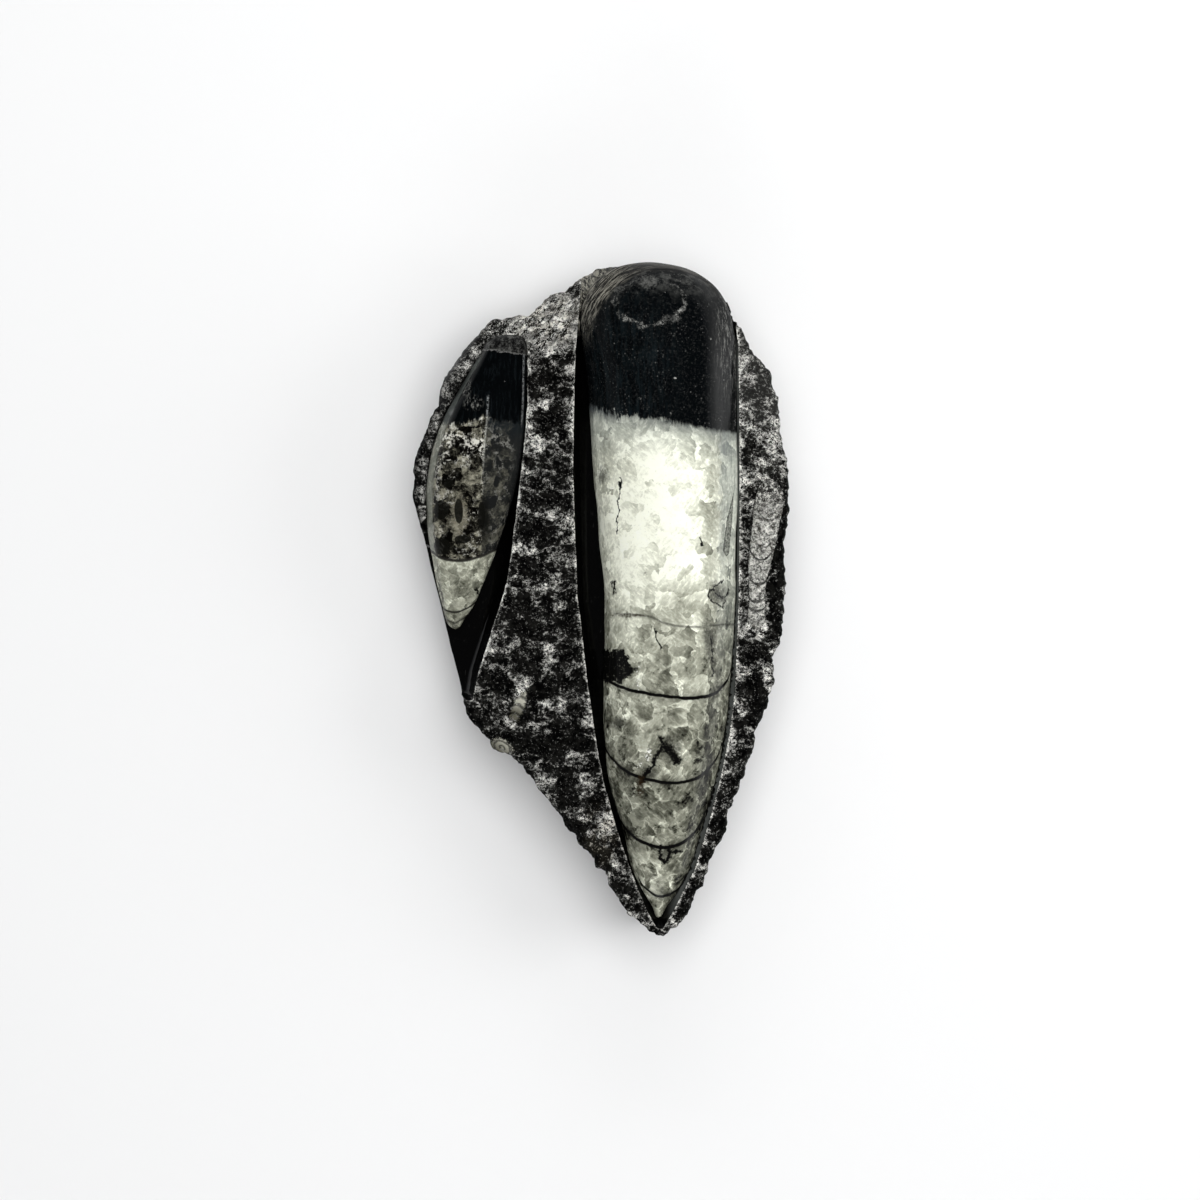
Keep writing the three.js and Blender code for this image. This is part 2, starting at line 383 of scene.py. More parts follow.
def large_shell_finish():
    f = Finish("large_shell_polished")
    lean = f.around()
    waver = f.cloud(2.2, 3, 0.6) - 0.5
    fine = f.cloud(0.5, 3, 0.65) - 0.5
    # How milky the calcite is, from the point up to the living chamber.
    milk = f.line_of(f.y, [
        (-71, 0.64), (-60, 0.60), (-48, 0.53), (-36, 0.59), (-24, 0.65), (-19, 0.71), (-12, 0.73),
        (-2, 0.76), (8, 0.92), (22, 0.94), (33, 0.85), (42, 0.74),
    ])
    heart = f.spot(11.5, 17, 9, 19, 1.4) * 0.11 + f.spot(13.5, 30, 4, 4, 1.4) * 0.1
    # Painted shade: the calcite is made darker towards its left flank, and darker still towards its right
    # flat.
    painted_flank_shade = f.rise(lean, -0.5, -0.95) * 0.08 + f.rise(lean, 0.13, 0.62) * 0.2
    broad = (f.cloud(9, 2) - 0.5) * 0.25
    level, edge, _ = calcite(f, milk + heart - painted_flank_shade + broad, 4.4)
    lower = f.rise(f.y, 2, -22)
    # In the pointed chambers the crystals are clear olive in the middle, with pale seams between.
    dim = f.rise(f.cells(4.4, place=f.bent(0.35, 3.0)), 0.60, 0.28)
    dim = dim * f.patches(0.42, 0.54, 5, 2, 0.6, shift=17)
    seams = edge * f.patches(0.45, 0.6, 4, 1, shift=31)
    murk = f.patches(0.54, 0.68, 3.0, 5, 0.74, shift=12)
    level = level + seams * (0.06 + 0.13 * lower)
    level = level - dim * (0.02 + 0.17 * lower) - murk * (0.05 + 0.26 * lower)
    fibres = f.cloud(0.6, 3, 0.65, f.stretched(1.0, 0.1, 1.0)) - 0.5
    level = level + fibres * f.rise(abs(lean), 0.45, 0.75) * 0.5
    white = f.stone(level)
    # A painted bluish sheen on the right flat, and a bluish haze in the calcite below the living chamber.
    bluish_sheen_and_haze = f.rise(lean + waver * 0.3, 0.5, 0.6) * f.rise(f.y, -25, 30) * 0.22
    bluish_sheen_and_haze = bluish_sheen_and_haze.over(f.rise(f.y, 28, 40) * 0.2)
    white = f.blend(bluish_sheen_and_haze, white, (0.46, 0.53, 0.55))

    # The chamber walls, cut across as dark lines, each with a painted soft shadow to either side.
    wall_lines_and_shadows = []
    for width, depth, line in [
        (0.5, 1, [
            (1, -17), (5, -19.3), (10, -20.4), (15, -21.1), (20, -21.5), (24, -21), (27, -19.2),
            (29, -15.5),
        ]),
        (0.5, 1, [
            (0.5, -31.5), (3.5, -36), (7, -38.3), (11, -39.5), (15, -40.2), (20, -39.7), (24, -37.3),
            (27, -32),
        ]),
        (0.55, 1, [(3.5, -47), (7, -52), (10, -53.8), (14, -54.7), (17, -54.2), (20, -52.5), (23.5, -47)]),
        (0.45, 0.9, [(8.5, -61.5), (11, -64.8), (13.5, -65.9), (16, -65.3), (19, -61.5)]),
        (0.35, 0.5, [(3, -3), (10, -3.5), (15, -5.3), (20, -5.9), (27, -5.4)]),
    ]:
        gap = abs(f.y - f.line_of(f.x, line) + waver * 0.6) + fine * 0.3
        line_and_shadow = (f.rise(gap, width, width * 0.35) + f.rise(gap, width * 3.5, 0) * 0.4) * depth
        wall_lines_and_shadows.append(line_and_shadow * f.rise(f.x, line[0][0] - 0.2, line[0][0] + 0.2))
    dark_marks = reduce(Field.over, wall_lines_and_shadows) * (0.9 + fine)

    # Cracks, wisps and the siphuncle's dark tube.
    bent = f.bent(0.9, 1.6)
    for line, width in [
        ([(4.5, 26.8), (4.4, 24.4), (3.9, 18.5), (3.6, 14.6)], 0.24),
        ([(4.45, 25.8), (4.4, 24.6)], 0.55),
        ([(21.8, 13.4), (22.4, 11.9)], 0.35),
        ([(24.4, -8), (24.6, -12), (24.9, -17)], 0.3),
        ([(23.6, 0.9), (24.7, 2.7), (27.2, 4.4)], 0.4),
        ([(28.4, 2.2), (27, -1.6), (24.6, -0.2), (23.6, 0.9)], 0.45),
        ([(24.8, 2.2), (27, 0.4)], 0.5),
        ([(12, -6.5), (12.2, -8), (13.5, -10.5)], 0.32),
        ([(3, 3.8), (3, 1.6)], 0.7),
        ([(13.3, -30.2), (14, -32.2), (12.2, -34.3), (11, -37.6)], 0.9),
        ([(14.2, -32.0), (15.4, -33.2), (16.8, -35.2)], 2.0),
        ([(10.6, -37), (9.2, -40)], 1.1),
        ([(13.2, -54.6), (13.5, -57), (14.3, -58), (15.2, -57), (15.4, -54.6)], 0.9),
        ([(15.6, -55.8), (17.9, -55.5)], 0.8),
    ]:
        dark_marks = dark_marks.over(f.rise(f.scratch(line, width, bent) + fine * 1.5, 0.1, 0.8))
    # Soft dark clouds round the dark star and the tube.
    for x, y, across, along in [
        (15.4, -32.8, 2.9, 3.0), (10.8, -37.6, 1.8, 2.6), (14.6, -56, 1.9, 1.9), (25.8, 1.2, 2.4, 2.8),
        (24, -9, 1.6, 5.5), (0.4, 27.3, 1.6, 1.9), (3.9, -27, 2.4, 1.6),
    ]:
        dark_marks = dark_marks.over(f.rise(f.spot(x, y, across, along, 1.8) + waver * 1.4 + fine, 0.3, 1.1) * 0.75)
    # A sliver of grey stone along the right flank.
    sliver = f.patch([(29.6, 24), (29.2, 17), (28.5, 10.2), (27.8, 9.6), (27.1, 10.8), (27.9, 17.5)])
    sliver = sliver + fine * 0.3
    sliver = f.rise(sliver, 0.0, 0.12) * (0.6 + fine * 1.8) + f.rise(abs(sliver - 0.06), 0.18, 0.0) * 0.4
    dark_marks = dark_marks.over(sliver)
    # A dark patch of mud that leaked in beside the first wall.
    leak = f.patch([(0, -11), (5.2, -10.8), (6.2, -13), (5.2, -19), (0, -17.6)])
    leak = leak.over(f.patch([(5, -12.4), (8.2, -15), (5, -17.8)]))
    ragged = f.cloud(1.1, 5, 0.8, shift=41) - 0.5
    leak = f.rise(leak + waver * 3 + ragged * 3.4, -0.3, 0.3)
    dark_marks = dark_marks.over(leak * (1.0 - f.rise(ragged, 0.06, 0.2) * 0.42))
    colour = f.blend(dark_marks.held(), white, (0.003, 0.003, 0.0028))
    rust = f.spot(8.9, -40.8, 1.0, 3.0, 1.6).over(f.spot(6.5, -3.4, 4, 0.5, 1) * 0.8)
    rust = rust.over(f.spot(9.9, 5.4, 1.7, 0.8, 1) * 0.6)
    rust = f.rise(rust + fine * 2 + waver * 1.5, 0.45, 1.1)
    colour = f.blend(rust * 0.8, colour, (0.02, 0.012, 0.005))
    glints = f.rise(f.cells(0.8, output="Color"), 0.93, 0.96) * f.rise(f.cells(0.8), 0.32, 0.18)
    glints = glints * f.patches(0.5, 0.6, 5, 2, shift=3) * lower
    sparkle = f.spot(10.7, -33.8, 0.9, 1.8, 1).over(f.spot(8.9, -36.3, 1, 0.9, 1))
    sparkle = sparkle.over(f.spot(8.4, -16.5, 0.7, 4, 1) * 0.8)
    glints = glints.over(f.rise(sparkle + fine * 4, 0.9, 1.5))
    colour = f.blend(glints, colour, (0.9, 0.9, 0.86))

    # The living chamber's black stone, which crystals grow up into.
    feather = f.cloud(1.3, 5, 0.75, f.stretched(1.0, 0.35, 1.0)) - 0.5
    front = f.line_of(f.x, [
        (-4, 43.5), (0, 42.2), (2, 41), (6, 40), (10, 39.5), (15, 38.7), (20, 37.8), (25, 37.2), (31, 37),
    ])
    past = f.y - front - feather * 5.0 * (0.4 + f.rise(f.x, 24, 4)) - waver * 0.8
    smoky = f.rise(past, -3.4, 0.2) * 0.45 + f.rise(past, -5, 0) * f.rise(f.x, 6, -1) * 0.45
    colour = f.blend(smoky, colour, (0.05, 0.06, 0.068))
    black = f.rise(past, -0.7, 0.6)
    dust = f.rise(f.cells(0.42, output="Color"), 0.66, 0.95) * f.rise(f.cells(0.42), 0.6, 0.15)
    specks = f.rise(f.cells(1.1, output="Color"), 0.86, 0.96)
    specks = specks * f.rise(f.cells(1.1) + fine * 0.9, 0.22, 0.06)
    haze = f.patches(0.5, 0.8, 0.6, 4, 0.8) * 0.05
    dust = dust * f.patches(0.44, 0.62, 4, 4, 0.7, shift=5) * 0.16
    specks_and_sheen = dust.over(haze).over(specks * 0.7)
    wisp = f.spot(10.4, 69.5, 2.6, 1.6, 1.2).over(f.spot(4.2, 68, 1.7, 1.1, 1))
    wisp = wisp.over(f.spot(15.6, 61.2, 2.2, 0.9, 1))
    specks_and_sheen = specks_and_sheen + f.rise(wisp + waver * 1.6 + fine * 2.5, 0.5, 1.3) * 0.1
    dull = f.patches(0.45, 0.65, 2.4, 4, 0.7, shift=15) * f.rise(f.y, 64, 71)
    # Streaks of painted grey sheen along the right flank of the black chamber.
    sheen_streaks = f.patches(0.48, 0.7, 0.8, 4, 0.85, f.stretched(1.0, 0.3, 1.0)) * f.spot(28, 58, 2.4, 11, 1.2)
    specks_and_sheen = specks_and_sheen + dull * 0.07 + sheen_streaks * 0.3
    ring = f.rise(abs(f.oval(10.9, 64.9, 7.5, 5.3) - 1 + waver * 0.55), 0.12, 0.0)
    ring = ring * f.patches(0.47, 0.6, 0.7, 5, 0.9, shift=9) * (0.14 + 0.4 * f.rise(f.y, 68, 62))
    specks_and_sheen = specks_and_sheen.over(ring * f.patches(0.26, 0.46, 3, 2, shift=19))
    blue = f.patches(0.4, 0.7, 1.0, 4, 0.7, f.stretched(1.0, 0.14, 1.0)) * f.spot(6, 50, 9, 15, 1.2)
    mud_and_sheen = f.blend(blue, (0.0012, 0.0018, 0.0022), (0.006, 0.0095, 0.0112))
    mud_and_sheen = f.blend(specks_and_sheen.held(), mud_and_sheen, (0.6, 0.6, 0.56))

    # Stone left round the blunt end, polished with it, in grey flow lines; their grey is partly a painted
    # sheen, paler towards the left flank.
    middle_x, middle_y = 14.3, 56
    rim = f.oval(middle_x, middle_y, 16.1, 16.3)
    bearing = rim.maths("ARCTAN2", f.y - middle_y, f.x - middle_x)
    collar_sheen = f.rise(rim + waver * 0.12, 0.97, 1.07) * f.rise(f.y, 54, 67)
    collar_sheen = collar_sheen * f.rise(f.x, 31, 20) * f.rise(f.z, 21, 25)
    swept = f.add("ShaderNodeCombineXYZ", {}, [rim * 60, bearing * 6, f.z * 0.5])
    flow = f.patches(0.44, 0.62, 1.15, 4, 0.78, swept)
    pale = f.blend(f.rise(f.x, 12, -3), (0.06, 0.057, 0.05), (0.3, 0.285, 0.24))
    mud_and_sheen = f.blend(collar_sheen * 0.95, mud_and_sheen, f.blend(flow, (0.005, 0.005, 0.0045), pale))
    edge_line = f.line_of(f.x, [(10, 72.2), (15.1, 72.5), (19, 71.9), (24, 70.2)])
    beyond = f.rise(f.y - edge_line, 0.1, 0.6) * f.rise(f.x, 8, 12)
    beyond = beyond * f.patches(0.36, 0.6, 1.0, 4, 0.75, swept)
    mud_and_sheen = f.blend(beyond * 0.8, mud_and_sheen, (0.05, 0.048, 0.043))
    seam = f.rise(abs(f.y - edge_line + waver * 0.3), 0.34, 0.14) * f.rise(f.x, 10.5, 12)
    mud_and_sheen = f.blend(seam, mud_and_sheen, 0.001)
    colour = f.blend(black, colour, mud_and_sheen)
    # The polish is brightest along the right flat and dull round the blunt end and on the left.
    band = f.rise(lean, 0.34, 0.56) * f.rise(f.y, 64, 50)
    streaks = f.cloud(1.2, 3, 0.65, f.stretched(1.0, 0.1, 1.0)) - 0.5
    polish = 0.16 + band * (0.28 + streaks * 0.5) - f.rise(lean, -0.3, -0.5) * 0.08
    return f.finish(colour, 0.2, f.cloud(5.5, 1), 0.1, polish)


def large_axis(y):
    return LARGE_TOP_AXIS + math.tan(SLAB_FALL) * (y - FALL_FROM)


large_shell = shell_skin("large_shell", LARGE_SHELL, large_axis, 1.0, LARGE_FLATS, 132, 0.35)
large_shell.data.materials.append(large_shell_finish())
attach(large_shell, "root")
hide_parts("large_orthocone")


# ---------------------------------------------------------------------------------------------
# The small shell. The same kind of animal, buried beside the first: smoky calcite with dark
# blebs, cream calcite in its last chambers and black stone in the living chamber. It was ground
# to a ridge between two flats, and its blunt end was cut off slantwise.

SMALL_SHELL = [
    (-6.5, -32.3, -32.3), (-5.6, -33.9, -31.0), (-4, -34.6, -30), (-1.5, -35.2, -28.3),
    (3, -36.2, -26.3), (8, -37.1, -24.3), (12, -37.9, -22.8), (18, -38.6, -20.8),
    (25, -38.8, -18.9), (30, -38.1, -17.7), (36, -36.6, -16.9), (41, -34.6, -16.5),
    (46, -32, -16.2), (51, -29, -16.2), (55, -26.6, -16.3), (57.4, -25.2, -16.6),
    (58.6, -23.4, -17.6), (59, -20.6, -20.6),
]
SMALL_FLATS = [
    (math.radians(36), 0.1, 0.012), (math.radians(-22), 0.06, 0.012), (math.radians(-70), 0.05, 0.012),
]
SMALL_SQUASH = 0.85


def small_axis(y):
    return 19.2 + 0.05 * (y - 26)


def small_shell_finish():
    f = Finish("small_shell_polished")
    lean = f.around()
    waver = f.cloud(1.8, 3, 0.6) - 0.5
    fine = f.cloud(0.45, 3, 0.65) - 0.5
    level, edge, pick = calcite(f, 0.52, 2.6)
    # Smoky chambers: brown-black crystals with pale shards, under a painted dim hazy reflection on the
    # right flat.
    smoke = f.rise(f.cloud(2.2, 5, 0.8, shift=4) + (pick - 0.5) * 0.24, 0.36, 0.74) ** 2.4
    ridge = f.line_of(f.y, [(8, -26.4), (22, -26), (32, -25.7), (41, -24.8)])
    painted_haze = f.rise(f.x - ridge + waver * 0.4, -0.15, 0.2)
    brown = f.blend(smoke, (0.001, 0.0008, 0.0004), (0.3, 0.287, 0.22))
    upper = f.rise(f.y, 27, 36)
    shards = f.rise(f.cloud(1.1, 4, 0.8, shift=8) + edge * 0.1 + upper * 0.04, 0.54, 0.62)
    shards = shards * f.patches(0.42, 0.56, 3, 2, shift=14)
    brown = f.blend(shards * (0.45 + 0.5 * upper), brown, (0.66, 0.65, 0.58))
    flank = f.rise(lean + waver * 0.3, -0.6, -0.74)
    brown = f.blend(flank * (0.6 + fine), brown, (0.33, 0.34, 0.29))
    painted_haze_share = painted_haze * (0.7 + 0.28 * f.rise(f.x - ridge, 4.5, 7.5))
    brown = f.blend(painted_haze_share, brown, (0.013, 0.014, 0.014))
    crest = f.scratch([(-24.8, 40.4), (-25.5, 34), (-25.9, 27)], 0.3) * f.rise(f.y, 26, 34)
    brown = f.blend(crest * (0.5 + fine * 3), brown, (0.5, 0.5, 0.45))
    brown = f.blend(f.spot(-25.6, 17.5, 1.2, 5, 1.0) * 0.8, brown, (0.004, 0.004, 0.003))
    tube = f.rise(f.spot(-31.0, 19.0, 2.0, 4.6, 1.1) + waver * 1.6 + fine, 0.35, 0.95)
    brown = f.blend(tube * (0.55 + fine * 1.4), brown, (0.23, 0.215, 0.16))
    holes = reduce(Field.over, [f.spot(*hole) for hole in [
        (-31.2, 19.7, 0.95, 2.7), (-35.1, 20, 1.7, 2.0), (-33.5, 25.7, 1.1, 0.9), (-35, 11.9, 1.9, 1.9),
        (-26.2, 18.6, 0.8, 3.0), (-30.5, 13.4, 1.8, 0.9),
    ]])
    holes = f.rise(holes + waver * 0.7 + fine * 0.5, 0.35, 0.6)
    brown = f.blend(holes * 0.94, brown, (0.004, 0.004, 0.003))
    # Cream chambers at the pointed end.
    cloudy = f.spot(-29.2, 2.2, 2.8, 2.6, 0.8) * 0.14 + f.rise(f.y, -1.6, -3.4) * 0.12
    # The cream is painted darker towards both flanks, as shade.
    level = level + 0.08 - cloudy + f.rise(f.y, 4, 10) * 0.06 - f.rise(abs(lean), 0.5, 0.9) * 0.12
    cream = f.stone(level + edge * 0.08 + (f.cloud(2.2, 3, 0.6, shift=21) - 0.5) * 0.5)
    past_one = f.y - f.line_of(f.x, [
        (-38.5, 11.8), (-37.2, 10.6), (-34, 9), (-30.7, 8.7), (-27.4, 9.4), (-23.4, 11.1), (-21, 12.4),
    ])
    past_two = f.y - f.line_of(f.x, [
        (-37, 0.6), (-35.8, -1.1), (-34, -2.4), (-32.3, -2.7), (-30, -2), (-27.9, -0.6), (-27, 0.2),
    ])
    colour = f.blend(f.rise(past_one, 0.1, -0.1), brown, cream)
    dark_marks = f.rise(abs(past_one + waver * 0.25), 0.45, 0.15)
    dark_marks = dark_marks.over(f.rise(abs(past_two + waver * 0.25), 0.36, 0.1))
    dark_marks = dark_marks.over(f.scratch([(-34.3, -4.4), (-32.4, -5.2), (-28.5, -3.0)], 0.45))
    colour = f.blend((dark_marks * 0.95).held(), colour, (0.015, 0.014, 0.012))
    # The living chamber, with a bright sheen left where two flats meet.
    feather = f.cloud(0.7, 3, 0.7, f.stretched(1.0, 0.3, 1.0)) - 0.5
    past = f.y - feather * 3.4 - f.line_of(f.x, [
        (-38, 40), (-33.5, 39), (-30, 39), (-26.5, 40), (-24.8, 40.8), (-23.4, 39.5), (-16, 39.2),
    ])
    ground = f.patches(0.48, 0.7, 0.7, 4, 0.75, f.stretched(1.0, 0.12, 1.0))
    # The painted hazy reflection on the right flat turns bluish just below the living chamber.
    colour = f.blend(f.rise(past, -5, -1) * painted_haze * (0.75 - ground * 0.4), colour, (0.008, 0.011, 0.013))
    dust = f.rise(f.cells(0.7, output="Color"), 0.95, 0.99) * f.rise(f.cells(0.7), 0.32, 0.12)
    mud_and_sheen = f.blend(ground, (0.0008, 0.0012, 0.0015), (0.0042, 0.0058, 0.0066))
    mud_and_sheen = f.blend(dust * 0.7, mud_and_sheen, (0.4, 0.4, 0.37))
    bright = f.scratch([(-16.9, 54.5), (-17.1, 44), (-17.6, 34)], 0.3)
    bright = bright.over(f.scratch([(-24.7, 45), (-24.9, 40)], 0.35))
    mud_and_sheen = f.blend(bright * (0.3 + fine * 3), mud_and_sheen, (0.4, 0.42, 0.42))
    stain = f.patches(0.5, 0.64, 0.6, 4, 0.7, f.stretched(1, 0.5, 1))
    stain = stain * f.spot(-28, 43.5, 1.9, 1.5, 0.9).over(f.spot(-29.6, 47.2, 1.1, 2, 0.8))
    mud_and_sheen = f.blend(stain * 0.6, mud_and_sheen, (0.25, 0.25, 0.23))
    sheen = f.rise(lean + waver * 0.1, -0.6, -0.7) * f.rise(lean, -1.05, -0.9) * f.rise(f.y, 55.5, 52)
    mud_and_sheen = f.blend(sheen * (0.8 + fine), mud_and_sheen, (0.09, 0.098, 0.092))
    cut = f.y + 0.12 * (f.x + 22) - 55.1
    slant = f.rise(cut, -0.2, 0.2)
    facet = f.blend(f.patches(0.44, 0.66, 1.4, 5, 0.8), 0.003, (0.08, 0.08, 0.075))
    mud_and_sheen = f.blend(slant, mud_and_sheen, facet)
    lip = f.rise(abs(cut + waver * 1.1), 0.3, 0.1) * (0.35 + fine * 2.4)
    mud_and_sheen = f.blend(lip, mud_and_sheen, (0.2, 0.2, 0.19))
    colour = f.blend(f.rise(past, -0.5, 0.5), colour, mud_and_sheen)
    rough = 0.16 + (f.cloud(1.4, 3) - 0.5) * 0.1 + slant * 0.2
    polish = 0.25 + (f.cloud(3, 2) - 0.5) * 0.2 + sheen * 0.2
    return f.finish(colour, rough, f.cloud(4, 1), 0.1, polish)


small_shell = shell_skin("small_shell", SMALL_SHELL, small_axis, SMALL_SQUASH, SMALL_FLATS, 96, 0.25)
small_shell.data.materials.append(small_shell_finish())
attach(small_shell, "root")
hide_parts("small_orthocone")


# ---------------------------------------------------------------------------------------------
# The slab: black limestone, split from the bed and chiselled to shape, which bruises it pale.
# A wheel cut the channels round the raised shells, and they were polished black. The back is
# sawn flat, so that the piece lies still.

OUTLINE = [
    (10, 74.2), (4.2, 74.8), (1.1, 74.6), (-1.2, 74.1), (-3.6, 72.6), (-5.6, 70.9), (-7.3, 69.3),
    (-11.2, 68.3), (-12.7, 66.8), (-14.7, 64.9), (-16.4, 63.5), (-20.7, 63), (-24.2, 63),
    (-25.9, 60.9), (-29.2, 57.5), (-32.4, 53), (-34.5, 49.6), (-35.6, 47), (-36.1, 43.2), (-38, 40),
    (-39.8, 35), (-41.3, 31.8), (-41.8, 29), (-41.2, 27), (-41.7, 23), (-40.7, 19), (-39.3, 13.7),
    (-38, 7.5), (-36, 0), (-33.3, -11.3), (-31.6, -17.5), (-30.5, -22), (-29.4, -25.7),
    (-27.4, -28.3), (-24.8, -31.4), (-24.3, -32.8), (-22, -34.5), (-19.8, -35), (-17.8, -37),
    (-16.6, -37.5), (-15.2, -40), (-13.8, -42.2), (-10.4, -45.8), (-7.6, -50), (-5, -53.8),
    (-2.5, -56.6), (-0.2, -60), (0.9, -60.8), (2.6, -64.2), (4.9, -67.6), (6, -70), (8.8, -71.6),
    (11.4, -74.3), (12.8, -75), (14.5, -74.6), (16.8, -73), (20.1, -70.2), (20.7, -68), (20.8, -66),
    (23, -63.4), (24.1, -60), (25.8, -56), (28.1, -51.2), (28.2, -49.2), (29.8, -44), (32.3, -38.5),
    (34.6, -31.7), (35.4, -27.7), (37.4, -22.6), (38.8, -18), (39, -16.5), (38.5, -13), (40, -9.5),
    (40.9, -4), (40.8, 1), (41.6, 4), (40.9, 7), (40.7, 11), (41.4, 15.4), (42, 21), (41.9, 28),
    (41, 33.5), (40.2, 38), (40, 42.5), (39, 46), (38, 50), (36, 52.5), (33.2, 56), (31.5, 59.8),
    (29.8, 62), (28.4, 65.8), (25.8, 68), (23.6, 70), (20, 71.8), (16, 73),
]
CHANNEL_RIM = [
    (-4.2, 72), (-4.5, 67.5), (-4.9, 62), (-5.4, 56), (-5.8, 45), (-6, 30), (-5.6, 15), (-5, 0),
    (-4.3, -5), (-3.2, -15), (-1.9, -25), (-0.3, -35), (0.7, -40), (2, -45), (3.3, -50), (5, -55),
    (6.8, -60), (8.6, -65), (10.6, -69.6), (12.6, -73.2), (14, -73.4), (16.2, -69.8), (18.6, -65),
    (21.2, -60), (24.2, -50), (26.8, -40), (28.9, -30), (30.1, -20), (30.9, 0), (31.1, 20),
    (31, 40), (30.8, 56), (30.2, 61), (34, 84), (-4, 84),
]
TROUGH_RIM = [
    (-17, 56.8), (-16.3, 51), (-16, 45), (-16.5, 38), (-17.5, 28), (-18.5, 20), (-19.5, 12),
    (-20.5, 5), (-21.8, 0), (-23.5, -5), (-25, -10), (-27, -16), (-28.3, -22.4), (-36, -22.4),
    (-46, -2), (-46, 16), (-40, 17), (-37.6, 19.6), (-37.6, 25), (-36.8, 31), (-35, 37), (-33, 42),
    (-30.2, 47), (-27.2, 52), (-24.6, 56.4), (-22, 58), (-18.5, 58),
]
FACE_TOP = 22.6  # height of the worked face at the blunt end
CHANNEL_FLOOR = 17.2
TROUGH_FLOOR = 15.2
GRID = 0.5  # distance between the points of the worked face
BACK_GRID = 2.4  # the same, for the sawn back
SIDE_ROWS = 34  # rows of points down the broken sides
MAP_SCALE = 1 / 152  # how much of the slab's map a millimetre of its face takes
MAP_CORNER = np.array([-42.6, -75.6])
SIDE_SHELL = [  # the slighter shell that lies in the right margin, level with the face
    (-6.4, 34.8, 34.8), (-5.4, 33.3, 36.3), (0, 33.1, 36.8), (4, 33.1, 37.0), (8, 32.9, 38.0),
    (13, 33.3, 39.2), (17, 33.8, 39.9), (21, 34.3, 40.7), (25, 35.3, 40.2), (27, 37.6, 37.6),
]


def side_axis(y):
    return FACE_TOP + math.tan(SLAB_FALL) * (y - FALL_FROM) - 0.25


def walked(points, pitch):
    """Points at an even pitch round a closed line of straight stretches."""
    points = np.array(list(points) + [points[0]], float)
    along = np.r_[0, np.cumsum(np.hypot(*np.diff(points, axis=0).T))]
    at = np.linspace(0, along[-1], round(along[-1] / pitch), endpoint=False)
    return np.c_[np.interp(at, along, points[:, 0]), np.interp(at, along, points[:, 1])]


def outward(ring, reach):
    """Which way is out at each point of a ring, evened over reach points each way."""
    run = sum(np.roll(ring, -k, 0) - np.roll(ring, k, 0) for k in range(1, reach))
    normals = np.c_[-run[:, 1], run[:, 0]]
    area = np.sum(ring[:, 0] * np.roll(ring[:, 1], -1) - ring[:, 1] * np.roll(ring[:, 0], -1))
    return normals / np.hypot(*normals.T)[:, None] * (-1 if area > 0 else 1)


def inside(points, ring):
    """Which points lie inside a closed ring."""
    x, y = points.T
    found = np.zeros(len(points), bool)
    for (x0, y0), (x1, y1) in zip(ring, np.roll(ring, -1, 0)):
        if y0 != y1:
            found ^= ((y0 > y) != (y1 > y)) & (x < (x1 - x0) * (y - y0) / (y1 - y0) + x0)
    return found


def gap_to(points, ring):
    """How far each point is from a closed ring that is walked at a short pitch."""
    tree = KDTree(len(ring))
    for i, (x, y) in enumerate(ring):
        tree.insert((x, y, 0), i)
    tree.balance()
    near = np.array([tree.find((x, y, 0))[1] for x, y in points])
    best = np.full(len(points), np.inf)
    for side in (-1, 0):
        start, end = ring[(near + side) % len(ring)], ring[(near + side + 1) % len(ring)]
        run = end - start
        share = np.clip(np.sum((points - start) * run, 1) / np.sum(run * run, 1), 0, 1)
        best = np.minimum(best, np.hypot(*(points - start - share[:, None] * run).T))
    return best


def waves(points, size, octaves, shift=0.0):
    """Fractal noise from about -1 to 1 at each point."""
    spots = [Vector((x / size + shift, y / size, shift)) for x, y in points]
    return np.array([noise.fractal(spot, 0.9, 2.0, octaves) for spot in spots])


def under_shell(points, stations, axis_height, flatten):
    """Height of a shell's underside, or nan where there is no shell."""
    x, y = points.T
    middle, square = middle_and_square(stations, np.clip(y, stations[0][0], stations[-1][0]))
    left = square - (x - middle) ** 2
    left[(y < stations[0][0]) | (y > stations[-1][0])] = -1
    return np.where(left > 0, axis_height(y) - flatten * np.sqrt(np.maximum(left, 0)), np.nan)


ring = walked(OUTLINE, 0.55)
out = outward(ring, 6)
jag = np.array([noise.fractal(Vector((x, y, 3)) / 2.2, 0.7, 2.1, 5) for x, y in ring])
smooth_side = np.clip((ring[:, 1] + 22) / 4, 0, 1) * np.clip((18 - ring[:, 1]) / 4, 0, 1) * (ring[:, 0] < 0)
left_strip = (ring[:, 0] < -22) & (ring[:, 1] > 16)
ring = ring + out * (jag * 0.55 * (1 - 0.93 * smooth_side) * (1 - 0.45 * left_strip))[:, None]

channel = walked(CHANNEL_RIM, 0.5)
trough = walked(TROUGH_RIM, 0.5)


